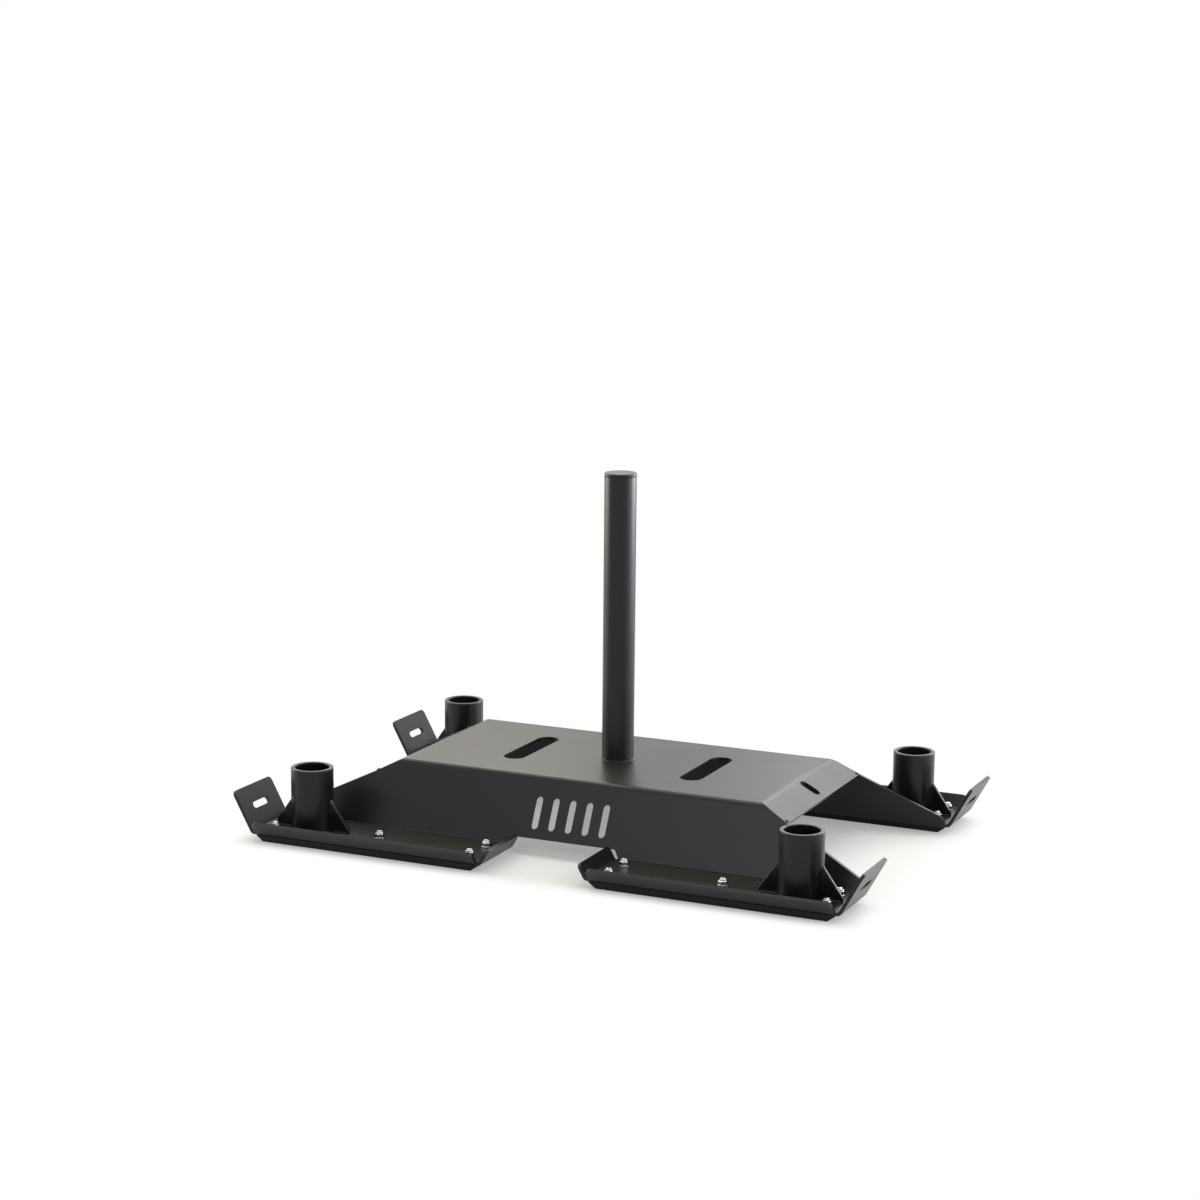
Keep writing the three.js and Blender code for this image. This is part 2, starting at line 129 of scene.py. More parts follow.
# Softboxes: each row has an elevation, a height and the height that it aims at
LAMP_DISTANCE = 3.4
LAMP_TURN = math.radians(45)  # of the ring that one softbox fills
LOW_ROW = (math.radians(5), 0.58, 0.3)
MIDDLE_ROW = (math.radians(35), 1.7, 0.1)
HIGH_ROW = (math.radians(60), 1.5, 0.1)
WARM = (1, 0.99, 0.92)
AMBER = (1, 0.97, 0.76)
COOL = (0.88, 0.94, 1)
NEUTRAL = (1, 1, 1)
OVERHEAD_SIZE = 1.8
OVERHEAD_RADIANCE = 2.2
SOFTBOXES = [  # name, azimuth in degrees from the sled's right end, row, radiance, tint
    ("right_low", 12, LOW_ROW, 6, COOL),
    ("right_middle", 0, MIDDLE_ROW, 3, COOL),
    ("rear_right_low", 44, LOW_ROW, 20, COOL),
    ("rear_right_high", 45, HIGH_ROW, 2.6, COOL),
    ("rear_middle", 87, MIDDLE_ROW, 3, NEUTRAL),
    ("rear_left_middle", 135, MIDDLE_ROW, 1.9, AMBER),
    ("rear_left_high", 135, HIGH_ROW, 2, AMBER),
    ("left_low", 186, LOW_ROW, 10, WARM),
    ("left_middle", 180, MIDDLE_ROW, 0.9, WARM),
    ("left_high", 180, HIGH_ROW, 1.5, WARM),
    ("front_middle", 270, MIDDLE_ROW, 1.3, NEUTRAL),
]

# Camera, solved from the photograph's 1200 x 1200 frame
IMAGE_SIZE = 1200
FOCAL_PIXELS = 2746.3
SENSOR = 36.0  # in millimetres, as Blender counts a sensor and its lens
CAMERA_AZIMUTH = math.radians(24.379)
CAMERA_ELEVATION = math.radians(11.001)
CAMERA_ROLL = math.radians(0.498)
CAMERA_DISTANCE = 4.1253
CAMERA_TARGET = Vector((-0.03188, 0, 0.35192))
CAMERA_REACH = 100


# Node trees

COLOUR_INPUTS = (6, 7)  # sockets of a Mix node that blends colours
COLOUR_OUTPUT = 2


def add_node(tree, kind, **values):
    node = tree.nodes.new(kind)
    for name, value in values.items():
        setattr(node, name, value)
    return node


def noise(tree, vector, scale, detail=3.0, roughness=0.5):
    node = add_node(tree, "ShaderNodeTexNoise")
    node.inputs["Scale"].default_value = scale
    node.inputs["Detail"].default_value = detail
    node.inputs["Roughness"].default_value = roughness
    tree.links.new(vector, node.inputs["Vector"])
    return node.outputs["Fac"]


def stretched(tree, vector, scale):
    node = add_node(tree, "ShaderNodeMapping")
    node.inputs["Scale"].default_value = scale
    tree.links.new(vector, node.inputs["Vector"])
    return node.outputs["Vector"]


def remap(tree, value, low, high, to_low, to_high):
    node = add_node(tree, "ShaderNodeMapRange")
    tree.links.new(value, node.inputs["Value"])
    for name, number in zip(("From Min", "From Max", "To Min", "To Max"), (low, high, to_low, to_high)):
        node.inputs[name].default_value = number
    return node.outputs["Result"]


def combine(tree, operation, first, second):
    node = add_node(tree, "ShaderNodeMath", operation=operation)
    for socket, value in zip(node.inputs, (first, second)):
        if isinstance(value, (int, float)):
            socket.default_value = value
        else:
            tree.links.new(value, socket)
    return node.outputs["Value"]


def blend_colours(tree, factor, first, second):
    node = add_node(tree, "ShaderNodeMix", data_type="RGBA")
    tree.links.new(factor, node.inputs["Factor"])
    for index, value in zip(COLOUR_INPUTS, (first, second)):
        if isinstance(value, tuple):
            node.inputs[index].default_value = (*value, 1)
        else:
            tree.links.new(value, node.inputs[index])
    return node.outputs[COLOUR_OUTPUT]


def bumped(tree, layers):
    """Normal from layers of (height, distance in metres), the finest last."""
    normal = None
    for height, distance in layers:
        node = add_node(tree, "ShaderNodeBump")
        node.inputs["Distance"].default_value = distance
        tree.links.new(height, node.inputs["Height"])
        if normal is not None:
            tree.links.new(normal, node.inputs["Normal"])
        normal = node.outputs["Normal"]
    return normal


def new_material(name):
    material = bpy.data.materials.new(name)
    material.use_nodes = True
    tree = material.node_tree
    shader = tree.nodes["Principled BSDF"]
    position = add_node(tree, "ShaderNodeTexCoord").outputs["Object"]
    return material, tree, shader, position


def upward_share(tree):
    """Upward share of the surface's direction: 1 where it faces up, -1 where it faces down."""
    geometry = add_node(tree, "ShaderNodeNewGeometry")
    parts = add_node(tree, "ShaderNodeSeparateXYZ")
    tree.links.new(geometry.outputs["Normal"], parts.inputs["Vector"])
    return parts.outputs["Z"]


def rim_value(tree):
    return add_node(tree, "ShaderNodeAttribute", attribute_name=RIM).outputs["Fac"]


# Materials

def powder_coat():
    """Satin black powder coat: fine texture, a faint warm tint in streaks on faces that look up, and
    rounded edges that are glossier and painted lighter, partly as wear and partly as a painted highlight.
    """
    material, tree, shader, position = new_material("black_powder_coat")
    cloud = noise(tree, position, 9, 4)
    smear = noise(tree, stretched(tree, position, (4, 26, 26)), 1, 5, 0.6)
    speck = noise(tree, position, 420, 2)
    grain = noise(tree, position, 900, 2)
    peel = noise(tree, position, 230, 1)
    tint = blend_colours(tree, cloud, (0.0068, 0.007, 0.0078), (0.01, 0.01, 0.0102))
    # Rounded edges and weld beads lighter in specks: partly edge wear, partly a painted highlight for the
    # sheen along edges and the glints on the welds.
    edge_wear_and_sheen = combine(tree, "MULTIPLY", rim_value(tree), remap(tree, speck, 0.42, 0.66, 0.05, 1))
    worn_and_sheened = blend_colours(tree, remap(tree, edge_wear_and_sheen, 0, 1, 0, 0.35), tint, (0.085, 0.085, 0.083))
    streaks = remap(tree, combine(tree, "MULTIPLY", cloud, smear), 0.12, 0.42, 0.5, 1)
    # Faint warm tint, in streaks, on faces that look up.
    level = remap(tree, upward_share(tree), 0.88, 0.99, 0, 1)
    level_tint = combine(tree, "MULTIPLY", level, streaks)
    level_tinted = blend_colours(tree, remap(tree, level_tint, 0, 1, 0, 0.03), worn_and_sheened, (0.47, 0.44, 0.29))
    tree.links.new(level_tinted, shader.inputs["Base Color"])
    smeared = remap(tree, smear, 0.3, 0.7, 0.29, 0.32)
    speckled = remap(tree, speck, 0.3, 0.7, -0.015, 0.015)
    uneven = combine(tree, "ADD", smeared, speckled)
    rubbed = combine(tree, "SUBTRACT", uneven, remap(tree, rim_value(tree), 0, 1, 0, 0.1))
    tree.links.new(rubbed, shader.inputs["Roughness"])
    shader.inputs["IOR"].default_value = 1.36
    tree.links.new(bumped(tree, [(peel, PEEL_DEPTH), (grain, POWDER_DEPTH)]), shader.inputs["Normal"])
    return material


def skid_plastic():
    """Matt black plastic with fine marks along its length and scuffs on its running face."""
    material, tree, shader, position = new_material("skid_plastic")
    cloud = noise(tree, position, 14, 3)
    drag = noise(tree, stretched(tree, position, (6, 420, 90)), 1, 3, 0.7)
    grain = noise(tree, position, 700, 2)
    under = remap(tree, upward_share(tree), -0.4, -0.9, 0, 1)
    scuffs = combine(tree, "MULTIPLY", under, remap(tree, drag, 0.5, 0.68, 0, 1))
    plain = blend_colours(tree, cloud, (0.0045, 0.0045, 0.0047), (0.007, 0.007, 0.0068))
    scuffed = blend_colours(tree, remap(tree, scuffs, 0, 1, 0, 0.5), plain, (0.09, 0.088, 0.083))
    rubbed = blend_colours(tree, remap(tree, rim_value(tree), 0, 1, 0, 0.2), scuffed, (0.05, 0.05, 0.048))
    tree.links.new(rubbed, shader.inputs["Base Color"])
    tree.links.new(remap(tree, cloud, 0.3, 0.7, 0.46, 0.58), shader.inputs["Roughness"])
    shader.inputs["IOR"].default_value = 1.3
    tree.links.new(bumped(tree, [(drag, DRAG_DEPTH), (grain, PLASTIC_DEPTH)]), shader.inputs["Normal"])
    return material


def zinc_plate():
    """Bright zinc plate with a faint blue tint in places and fine tumbling marks."""
    material, tree, shader, position = new_material("zinc_plate")
    tone = noise(tree, position, 160, 2)
    marks = noise(tree, position, 1500, 3)
    patches = remap(tree, tone, 0.35, 0.65, 0, 1)
    tinted = blend_colours(tree, patches, (0.45, 0.53, 0.58), (0.62, 0.63, 0.62))
    tree.links.new(tinted, shader.inputs["Base Color"])
    shader.inputs["Metallic"].default_value = 1
    tree.links.new(remap(tree, tone, 0.3, 0.7, 0.05, 0.11), shader.inputs["Roughness"])
    tree.links.new(bumped(tree, [(marks, TUMBLE_DEPTH)]), shader.inputs["Normal"])
    return material


def nylon():
    """Insert ring of a locking nut."""
    material, tree, shader, position = new_material("nylon_insert")
    tone = noise(tree, position, 800, 2)
    milky = blend_colours(tree, tone, (0.3, 0.36, 0.42), (0.42, 0.48, 0.52))
    tree.links.new(milky, shader.inputs["Base Color"])
    tree.links.new(remap(tree, tone, 0.3, 0.7, 0.35, 0.5), shader.inputs["Roughness"])
    return material


def seen_rays(tree):
    """1 for the camera's rays and for those that metal and glass show, 0 for the rays that light."""
    rays = add_node(tree, "ShaderNodeLightPath")
    seen = combine(tree, "MAXIMUM", rays.outputs["Is Camera Ray"], rays.outputs["Is Glossy Ray"])
    return combine(tree, "MAXIMUM", seen, rays.outputs["Is Transmission Ray"])


def floor_paper():
    """Pale paper that keeps the sled's shadow and turns plain white away from it."""
    material, tree, shader, position = new_material("floor_paper")
    tone = noise(tree, position, 1.5, 2)
    paper = blend_colours(tree, tone, (0.93, 0.92, 0.87), (0.945, 0.935, 0.885))
    tree.links.new(paper, shader.inputs["Base Color"])
    shader.inputs["Roughness"].default_value = 0.8
    shader.inputs["Specular IOR Level"].default_value = 0.2
    mirrored = add_node(tree, "ShaderNodeVectorMath", operation="ABSOLUTE")
    beyond = add_node(tree, "ShaderNodeVectorMath", operation="SUBTRACT")
    outside = add_node(tree, "ShaderNodeVectorMath", operation="MAXIMUM")
    away = add_node(tree, "ShaderNodeVectorMath", operation="LENGTH")
    skid_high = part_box("rear_right_skid")[1]
    beyond.inputs[1].default_value = (skid_high.x, skid_high.y, 0)
    tree.links.new(position, mirrored.inputs[0])
    tree.links.new(mirrored.outputs["Vector"], beyond.inputs[0])
    tree.links.new(beyond.outputs["Vector"], outside.inputs[0])
    tree.links.new(outside.outputs["Vector"], away.inputs[0])
    white = remap(tree, away.outputs["Value"], 0, FLOOR_FADE, FLOOR_NEAR_SHARE, 1)
    glow = add_node(tree, "ShaderNodeEmission")
    mix = add_node(tree, "ShaderNodeMixShader")
    tree.links.new(combine(tree, "MULTIPLY", white, seen_rays(tree)), mix.inputs["Fac"])
    tree.links.new(shader.outputs["BSDF"], mix.inputs[1])
    tree.links.new(glow.outputs["Emission"], mix.inputs[2])
    tree.links.new(mix.outputs["Shader"], tree.nodes["Material Output"].inputs["Surface"])
    return material


PAINT = powder_coat()
PLASTIC = skid_plastic()
ZINC = zinc_plate()
NYLON = nylon()


# Pieces

def new_piece(name, bm, materials, replaced=()):
    """Piece of the sled from a bmesh, which rides on the sled and takes a slot's finish."""
    bmesh.ops.recalc_face_normals(bm, faces=bm.faces)
    for face in bm.faces:
        face.smooth = True
    for line in bm.edges:
        if line.calc_face_angle(0) > HARD_ANGLE:
            line.smooth = False
    mesh = bpy.data.meshes.new(name)
    bm.to_mesh(mesh)
    bm.free()
    for material in materials:
        mesh.materials.append(material)
    piece = bpy.data.objects.new(name, mesh)
    bpy.context.scene.collection.objects.link(piece)
    weighted = piece.modifiers.new("even_normals", "WEIGHTED_NORMAL")
    weighted.keep_sharp = True
    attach(piece, "root")
    if replaced:
        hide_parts(*replaced)


def node_mesh(node):
    """A CAD node's mesh with its flat faces whole."""
    bm = bmesh.new()
    bm.from_mesh(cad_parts[node].data)
    bmesh.ops.remove_doubles(bm, verts=bm.verts, dist=MERGE)
    bmesh.ops.dissolve_limit(bm, angle_limit=FLAT_ANGLE, verts=bm.verts, edges=bm.edges)
    return bm


def close_gaps(joints):
    """Move faces out by the CAD's clearance, so that they meet their neighbours face to face."""
    moves = []
    for vert in {v for face in joints for v in face.verts}:
        shifts = [(face.normal.copy(), SEAT_GAP if face in joints else 0) for face in vert.link_faces]
        normals = np.array([normal for normal, shift in shifts])
        move = np.linalg.lstsq(normals, np.array([shift for normal, shift in shifts]), rcond=0.01)[0]
        moves.append((vert, Vector(move)))
    for vert, move in moves:
        vert.co += move


def finished_plate(node, name, edge, material, joint=None, meets=None, closed=False):
    """A CAD node's own shape with its cut edges rounded.

    joint picks the faces that meet another plate of the same folded sheet, and meets picks edges there.
    Both stay sharp. closed moves the faces out to the other plate.
    """
    bm = node_mesh(node)
    rim = bm.faces.layers.float.new(RIM)
    joints = [face for face in bm.faces if joint and joint(face)]
    if closed:
        close_gaps(joints)
    seams = {e for face in joints for e in face.edges} | {e for e in bm.edges if meets and meets(e)}
    for seam in seams:
        seam.smooth = False
    sharp = [
        e for e in bm.edges
        if e not in seams and len(e.link_faces) == 2 and e.calc_face_angle(0) > SHARP_ANGLE
    ]
    rounded = bmesh.ops.bevel(
        bm,
        geom=sharp,
        offset=edge,
        offset_type="OFFSET",
        segments=EDGE_SEGMENTS,
        profile=0.5,
        affect="EDGES",
        clamp_overlap=True,
    )
    for face in rounded["faces"]:
        face[rim] = 1
    new_piece(name, bm, [material], [node])


def build_body():
    """Deck and side plates, brought together into the one folded sheet that they are."""
    outward = {}
    for side in ("front", "rear"):
        bm = node_mesh(f"{side}_side_plate")
        outer = max(bm.faces, key=lambda face: face.calc_area() * (face.normal.y * SIGN[side] > 0))
        outward[side] = outer.normal.copy()
        bm.free()
    upward = {side: (UP - UP.dot(normal) * normal).normalized() for side, normal in outward.items()}
    slope_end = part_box("deck")[1].x

    def deck_joint(face):
        over = (face.normal.dot(outward[side]) for side in outward)
        below = (-face.normal.dot(upward[side]) for side in outward)
        return max(*over, *below) > ALIKE

    finished_plate("deck", "deck_plate", PLATE_EDGE, PAINT, joint=deck_joint, closed=True)
    for side in outward:
        def plate_joint(face):
            return face.normal.dot(upward[side]) > ALIKE

        def against_slope(edge):
            normals = [face.normal for face in edge.link_faces]
            inner = any(normal.dot(-outward[side]) > ALIKE for normal in normals)
            above = any(normal.z > CLIMB_SHARE for normal in normals)
            return inner and above and all(abs(vert.co.x) < slope_end for vert in edge.verts)

        finished_plate(
            f"{side}_side_plate",
            f"{side}_side_sheet",
            PLATE_EDGE,
            PAINT,
            joint=plate_joint,
            meets=against_slope,
        )


def arc(centre_radius, centre_height, radius, start, end):
    """Profile points of an arc between two angles, anticlockwise when the end is larger."""
    steps = max(1, math.ceil(abs(end - start) / ARC_STEP))
    angles = [start + (end - start) * i / steps for i in range(steps + 1)]
    return [(centre_radius + radius * math.cos(a), centre_height + radius * math.sin(a)) for a in angles]


def turned_rings(bm, rings, sides, centre, closed=False, slot=0):
    """Skin over rings of (height, radius), where a radius can depend on the angle.

    closed joins the last ring to the first, and otherwise both ends get a flat face.
    """
    angles = [2 * math.pi * i / sides for i in range(sides)]
    rows = []
    for height, radius in rings:
        row = []
        for angle in angles:
            reach = radius(angle) if callable(radius) else radius
            place = centre + Vector((reach * math.cos(angle), reach * math.sin(angle), height))
            row.append(bm.verts.new(place))
        rows.append(row)
    pairs = list(zip(rows, rows[1:]))
    if closed:
        pairs.append((rows[-1], rows[0]))
    faces = []
    for low, high in pairs:
        for i in range(sides):
            j = (i + 1) % sides
            faces.append(bm.faces.new((low[i], low[j], high[j], high[i])))
    if not closed:
        faces.append(bm.faces.new(list(reversed(rows[0]))))
        faces.append(bm.faces.new(rows[-1]))
    for face in faces:
        face.material_index = slot


def hexagon(width, cap):
    """Radius of a hexagon across an angle, cut back to a round cap."""
    sixth = math.pi / 3
    return lambda angle: min(cap, width / 2 / math.cos((angle + sixth / 2) % sixth - sixth / 2))


def middle_at(low, high, height):
    """Point at a height, over the middle of a box's plan."""
    return Vector(((low.x + high.x) / 2, (low.y + high.y) / 2, height))


def build_socket(node, name):
    """Thick tube with a rounded rim and an open bore."""
    low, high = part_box(node)
    centre = middle_at(low, high, 0)
    outer = (high.x - low.x) / 2
    bore = outer - SOCKET_WALL
    quarter = math.pi / 2
    profile = [(outer, low.z)]
    profile += arc(outer - RIM_ROUND, high.z - RIM_ROUND, RIM_ROUND, 0, quarter)
    profile += arc(bore + RIM_ROUND, high.z - RIM_ROUND, RIM_ROUND, quarter, 2 * quarter)
    profile += [(bore, low.z)]
    bm = bmesh.new()
    turned_rings(bm, [(height, radius) for radius, height in profile], ROUND_SIDES, centre, closed=True)
    new_piece(name, bm, [PAINT], [node])


def build_post():
    """Weight post and its welded cap, with the seam where they meet."""
    low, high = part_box("weight_post")
    cap_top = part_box("post_cap")[1].z
    outer = (high.x - low.x) / 2
    rings = [(low.z, outer), (high.z - CAP_SEAM, outer), (high.z, outer - CAP_SEAM)]
    bm = bmesh.new()
    turned_rings(bm, rings, ROUND_SIDES, Vector())
    new_piece("weight_post_tube", bm, [PAINT], ["weight_post"])
    seam = high.z + CAP_SEAM / 2
    rings = [(high.z, outer - 2 * CAP_SEAM), (seam, outer - CAP_SEAM), (seam + CAP_SEAM, outer)]
    top = arc(outer - CAP_ROUND, cap_top - CAP_ROUND, CAP_ROUND, 0, math.pi / 2)
    rings += [(height, radius) for radius, height in top]
    bm = bmesh.new()
    turned_rings(bm, rings, ROUND_SIDES, Vector())
    new_piece("post_cap_plate", bm, [PAINT], ["post_cap"])


def build_fastener(node, name):
    """Countersunk screw with washer and locking nut: hexagon, collar, nylon ring and thread end."""
    low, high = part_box(node)
    centre = middle_at(low, high, 0)
    quarter = math.pi / 2
    bm = bmesh.new()
    key = hexagon(HEX_KEY, HEAD_RADIUS)
    head_top = low.z + HEAD_RIM + HEAD_RADIUS - BOLT_RADIUS
    screw = [
        (low.z + HEX_DEPTH, key),
        (low.z, key),
        (low.z, HEAD_RADIUS - HEAD_RIM / 2),
        (low.z + HEAD_RIM / 2, HEAD_RADIUS),
        (low.z + HEAD_RIM, HEAD_RADIUS),
        (head_top, BOLT_RADIUS),
        (TRAY_TOP + WASHER_THICKNESS, BOLT_RADIUS),
    ]
    thread_start = TRAY_TOP + WASHER_THICKNESS + NUT_HEIGHT + COLLAR_HEIGHT - NYLON_LIP
    thread_end = high.z - TIP_CHAMFER
    steps = math.ceil((thread_end - thread_start) / THREAD_PITCH * THREAD_STEPS)

    def thread(height):
        def radius(angle):
            phase = (height / THREAD_PITCH - angle / (2 * math.pi)) % 1
            return BOLT_RADIUS - THREAD_DEPTH * abs(2 * phase - 1)
        return radius

    screw += [
        (z, thread(z))
        for z in (thread_start + (thread_end - thread_start) * i / steps for i in range(steps + 1))
    ]
    screw += [(high.z, BOLT_RADIUS - TIP_CHAMFER - THREAD_DEPTH)]
    turned_rings(bm, screw, BOLT_SIDES, centre)

    base = TRAY_TOP
    face = base + WASHER_THICKNESS
    washer = [(height, radius) for radius, height in (
        arc(WASHER_RADIUS - WASHER_ROUND, base + WASHER_ROUND, WASHER_ROUND, -quarter, 0)
        + arc(WASHER_RADIUS - WASHER_ROUND, face - WASHER_ROUND, WASHER_ROUND, 0, quarter)
    )]
    turned_rings(bm, washer, BOLT_SIDES, centre)

    corner = NUT_WIDTH / 2 / math.cos(math.pi / 6)
    flat = NUT_WIDTH / 2
    top = face + NUT_HEIGHT
    chamfer = corner - flat
    nut = [
        (face, hexagon(NUT_WIDTH, flat)),
        (face + chamfer / 2, hexagon(NUT_WIDTH, corner)),
        (top - chamfer, hexagon(NUT_WIDTH, corner)),
        (top - chamfer / 2, hexagon(NUT_WIDTH, (corner + flat) / 2)),
        (top, hexagon(NUT_WIDTH, flat - chamfer / 2)),
        (top, COLLAR_RADIUS),
    ]
    collar_top = top + COLLAR_HEIGHT
    crown = arc(COLLAR_RADIUS - COLLAR_ROUND, collar_top - COLLAR_ROUND, COLLAR_ROUND, 0, quarter)
    nut += [(height, radius) for radius, height in crown]
    nut += [(collar_top, BOLT_RADIUS + NYLON_LIP), (collar_top - NYLON_LIP, BOLT_RADIUS + NYLON_LIP)]
    turned_rings(bm, nut, BOLT_SIDES, centre)
    lip = collar_top - NYLON_LIP
    ring = [
        (lip, BOLT_RADIUS + NYLON_LIP),
        (lip + NYLON_LIP / 2, BOLT_RADIUS + NYLON_LIP / 2),
        (lip + NYLON_LIP / 2, BOLT_RADIUS),
    ]
    turned_rings(bm, ring, BOLT_SIDES, centre, slot=1)
    new_piece(name, bm, [ZINC, NYLON], [node])


def weld_bead(bm, points, radius, ring=False):
    """Rippled bead along a polyline, or round a closed one."""
    count = len(points)
    rows = []
    travelled = 0
    for i, point in enumerate(points):
        before = points[i - 1] if ring or i else point
        after = points[(i + 1) % count] if ring or i < count - 1 else point
        along = (after - before).normalized()
        across = along.cross(UP)
        if across.length < UPRIGHT_SHARE:
            across = along.cross(Vector((0, 1, 0)))
        across.normalize()
        rise = across.cross(along)
        if i:
            travelled += (point - points[i - 1]).length
        ripple = (travelled / RIPPLE_PITCH) % 1
        reach = radius * (1 - RIPPLE_SHARE * ripple)
        if not ring and i in (0, count - 1):
            reach = radius * RIPPLE_SHARE
        elif not ring and i in (1, count - 2):
            reach = radius * TAPER_SHARE
        angles = [2 * math.pi * k / WELD_SIDES for k in range(WELD_SIDES)]
        spokes = [math.cos(a) * across + math.sin(a) * rise for a in angles]
        rows.append([bm.verts.new(point + reach * spoke) for spoke in spokes])
    pairs = list(zip(rows, rows[1:]))
    if ring:
        pairs.append((rows[-1], rows[0]))
    for low, high in pairs:
        for i in range(WELD_SIDES):
            j = (i + 1) % WELD_SIDES
            bm.faces.new((low[i], low[j], high[j], high[i]))
    if not ring:
        bm.faces.new(list(reversed(rows[0])))
        bm.faces.new(rows[-1])


def sheen_as_rim(bm):
    """Count all faces as a rounded edge: glossier, and lighter in colour as a painted highlight."""
    rim = bm.faces.layers.float.new(RIM)
    for face in bm.faces:
        face[rim] = 1


def straight(start, end):
    steps = max(3, math.ceil((end - start).length / WELD_STEP))
    return [start.lerp(end, i / steps) for i in range(steps + 1)]


def circle(centre, radius):
    steps = math.ceil(2 * math.pi * radius / WELD_STEP)
    angles = [2 * math.pi * i / steps for i in range(steps)]
    return [centre + radius * Vector((math.cos(a), math.sin(a), 0)) for a in angles]


def build_post_weld():
    """Fillet round the foot of the weight post."""
    low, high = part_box("weight_post")
    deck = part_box("deck")[1].z
    bm = bmesh.new()
    weld_bead(bm, circle(Vector((0, 0, deck)), (high.x - low.x) / 2), POST_BEAD, ring=True)
    new_piece("post_weld", bm, [PAINT])


def build_slope_welds():
    """Fillets under the edges of the end slopes, and a tack at the lower corner of each."""
    bm = node_mesh("deck")
    lines = []
    for end in ("left", "right"):
        def sloping_area(face):
            lean = face.normal.x * SIGN[end]
            sloping = LEAN_SHARES[0] < lean < LEAN_SHARES[1] and face.normal.z > CLIMB_SHARE
            return face.calc_area() * sloping

        slope = max(bm.faces, key=sloping_area)
        fall = Vector((slope.normal.z, 0, -slope.normal.x)) * SIGN[end]
        inward = slope.normal * -PLATE
        for side in ("front", "rear"):
            low = max(slope.verts, key=lambda v: v.co.dot(fall) * 2 + v.co.y * SIGN[side]).co
            high = min(slope.verts, key=lambda v: v.co.dot(fall) * 2 - v.co.y * SIGN[side]).co
            tack = low.lerp(high, TACK_LENGTH / (low - high).length)
            lines.append((f"{side}_{end}", low.copy(), tack, high + inward, low + inward))
    bm.free()
    for corner, low, tack, under_high, under_low in lines:
        bead = bmesh.new()
        weld_bead(bead, straight(low, tack), TACK_BEAD)
        weld_bead(bead, straight(under_high, under_low), SLOPE_BEAD)
        # Beads lighter in colour: a painted highlight for their glints.
        sheen_as_rim(bead)
        new_piece(f"{corner}_slope_weld", bead, [PAINT])


def build_corner_welds(side, end):
    """Seam of the tray on the side plate, foot of the socket, and both gussets."""
    prefix = f"{side}_{end}"
    tray_low, tray_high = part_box(f"{prefix}_tray")
    skid_low, skid_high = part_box(f"{prefix}_skid")
    inner_y = SIGN[side] * min(abs(tray_low.y), abs(tray_high.y))
    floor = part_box(f"{prefix}_socket")[0].z
    bm = bmesh.new()
    seam = straight(Vector((skid_low.x, inner_y, floor)), Vector((skid_high.x, inner_y, floor)))
    weld_bead(bm, seam, SEAM_BEAD)
    new_piece(f"{prefix}_tray_weld", bm, [PAINT])

    low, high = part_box(f"{prefix}_socket")
    centre = middle_at(low, high, floor)
    outer = (high.x - low.x) / 2
    bm = bmesh.new()
    weld_bead(bm, circle(centre, outer), SOCKET_BEAD, ring=True)
    for gusset in ("outer", "inner"):
        low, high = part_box(f"{prefix}_{gusset}_gusset")
        out = 1 if (low.x + high.x) / 2 > centre.x else -1
        wall = low.x if out > 0 else high.x
        toe = high.x if out > 0 else low.x
        for y in (low.y, high.y):
            foot = Vector((wall, y, floor))
            weld_bead(bm, straight(foot, Vector((wall, y, high.z - GUSSET_BEAD))), GUSSET_BEAD)
            weld_bead(bm, straight(foot, Vector((toe - out * GUSSET_BEAD, y, floor))), GUSSET_BEAD)
    # Beads lighter in colour: a painted highlight for their glints.
    sheen_as_rim(bm)
    new_piece(f"{prefix}_socket_weld", bm, [PAINT])


for side, end in CORNERS:
    prefix = f"{side}_{end}"
    finished_plate(f"{prefix}_tray", f"{prefix}_tray_plate", PLATE_EDGE, PAINT)
    finished_plate(f"{prefix}_skid", f"{prefix}_skid_runner", SKID_EDGE, PLASTIC)
    build_socket(f"{prefix}_socket", f"{prefix}_socket_tube")
    for gusset in ("outer", "inner"):
        name = f"{prefix}_{gusset}_gusset"
        finished_plate(name, f"{name}_plate", PLATE_EDGE, PAINT)
    for number in range(1, BOLTS_PER_TRAY + 1):
        build_fastener(f"{prefix}_bolt_{number}", f"{prefix}_fastener_{number}")
    build_corner_welds(side, end)

build_body()
finished_plate("post_doubler", "post_doubler_plate", PLATE_EDGE, PAINT)
build_post()
build_post_weld()
build_slope_welds()


# Studio

def build_floor():
    bm = bmesh.new()
    bmesh.ops.create_grid(bm, x_segments=FLOOR_CELLS, y_segments=FLOOR_CELLS, size=FLOOR_REACH)
    mesh = bpy.data.meshes.new("floor")
    bm.to_mesh(mesh)
    bm.free()
    mesh.materials.append(floor_paper())
    floor = bpy.data.objects.new("floor", mesh)
    bpy.context.scene.collection.objects.link(floor)


def softbox(name, place, target, width, height, radiance, colour):
    """Area light that faces a target and shows a given radiance, but not itself."""
    lamp = bpy.data.lights.new(name, "AREA")
    lamp.shape = "RECTANGLE"
    lamp.size = width
    lamp.size_y = height
    lamp.energy = radiance * math.pi * width * height
    lamp.color = colour
    box = bpy.data.objects.new(name, lamp)
    bpy.context.scene.collection.objects.link(box)
    box.location = place
    box.rotation_euler = (Vector(place) - Vector(target)).to_track_quat("Z", "Y").to_euler()
    box.visible_camera = False


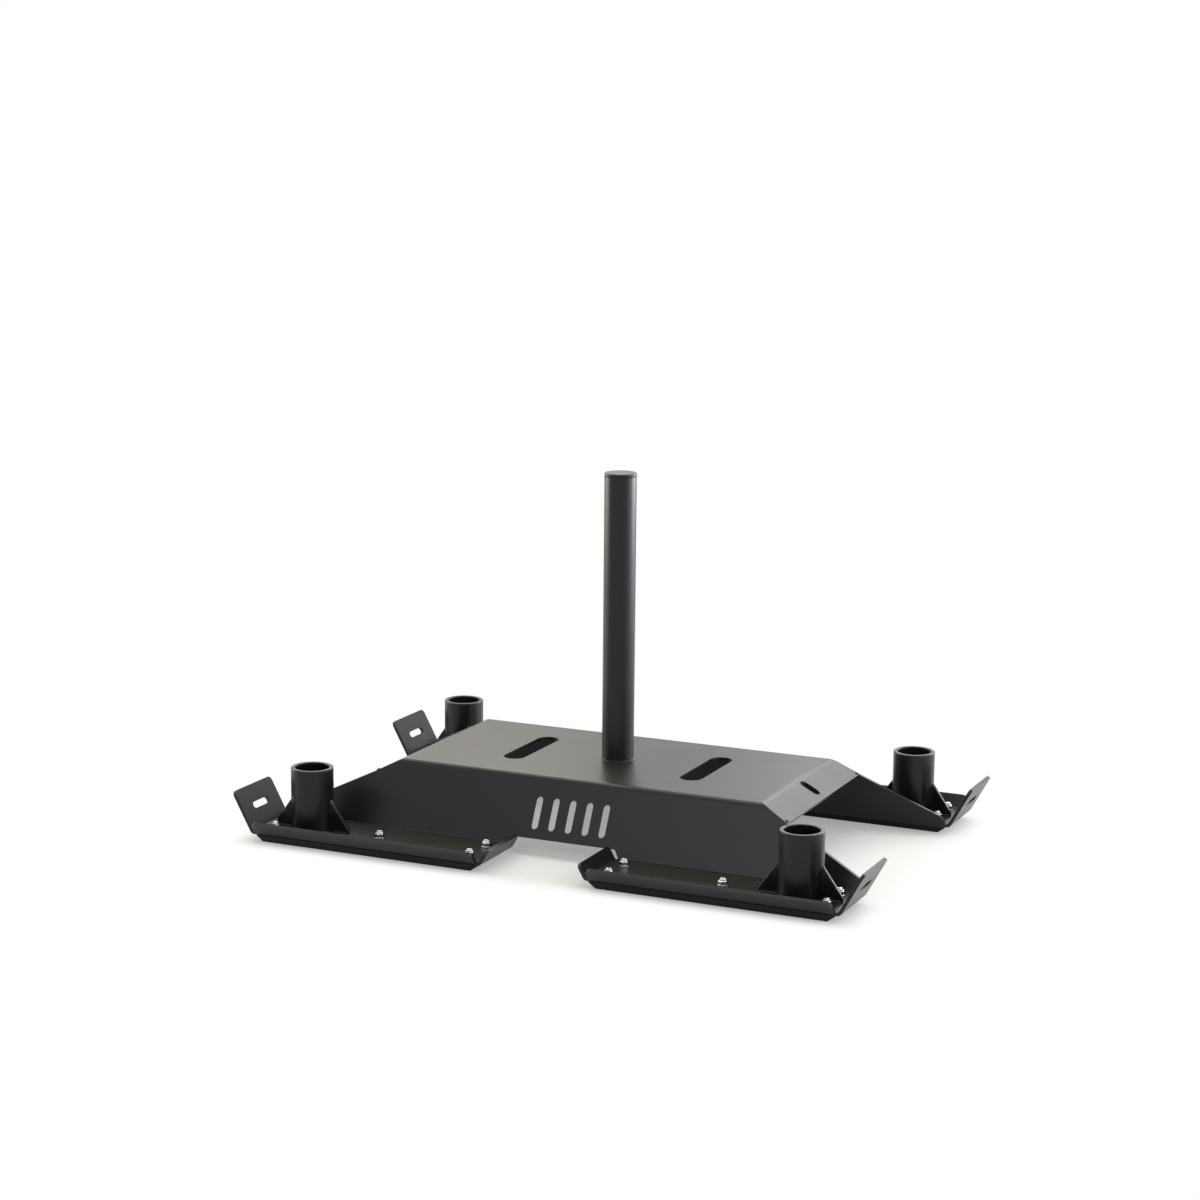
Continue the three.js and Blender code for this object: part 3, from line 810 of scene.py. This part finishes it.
def build_lamps():
    """Ring of softboxes in three rows, of which the low ones are strongest, and one overhead."""
    for name, azimuth, (elevation, height, aim), radiance, tint in SOFTBOXES:
        turn = math.radians(azimuth)
        reach = LAMP_DISTANCE * math.cos(elevation)
        place = (reach * math.cos(turn), reach * math.sin(turn), LAMP_DISTANCE * math.sin(elevation))
        softbox(name, place, (0, 0, aim), LAMP_TURN * reach, height, radiance, tint)
    top = OVERHEAD_SIZE
    softbox("overhead", (0, 0, LAMP_DISTANCE), (0, 0, 0), top, top, OVERHEAD_RADIANCE, WARM)


def build_world():
    """White surround for the camera and for reflections, which leaves the lighting to the softboxes."""
    world = bpy.data.worlds.new("studio")
    world.use_nodes = True
    tree = world.node_tree
    background = tree.nodes["Background"]
    background.inputs["Color"].default_value = (1, 1, 1, 1)
    tree.links.new(seen_rays(tree), background.inputs["Strength"])
    bpy.context.scene.world = world


def build_camera():
    back = Vector((
        math.sin(CAMERA_AZIMUTH) * math.cos(CAMERA_ELEVATION),
        -math.cos(CAMERA_AZIMUTH) * math.cos(CAMERA_ELEVATION),
        math.sin(CAMERA_ELEVATION),
    ))
    level = Vector((math.cos(CAMERA_AZIMUTH), math.sin(CAMERA_AZIMUTH), 0))
    upward = back.cross(level)
    right = math.cos(CAMERA_ROLL) * level + math.sin(CAMERA_ROLL) * upward
    top = math.cos(CAMERA_ROLL) * upward - math.sin(CAMERA_ROLL) * level
    data = bpy.data.cameras.new("camera")
    data.sensor_width = SENSOR
    data.lens = FOCAL_PIXELS / IMAGE_SIZE * SENSOR
    data.clip_end = CAMERA_REACH
    camera = bpy.data.objects.new("camera", data)
    bpy.context.scene.collection.objects.link(camera)
    place = CAMERA_TARGET + CAMERA_DISTANCE * back
    rows = [(right[i], top[i], back[i], place[i]) for i in range(3)]
    camera.matrix_world = Matrix((*rows, (0, 0, 0, 1)))
    bpy.context.scene.camera = camera


build_floor()
build_world()
build_lamps()
build_camera()

bpy.context.scene.view_settings.view_transform = "Standard"
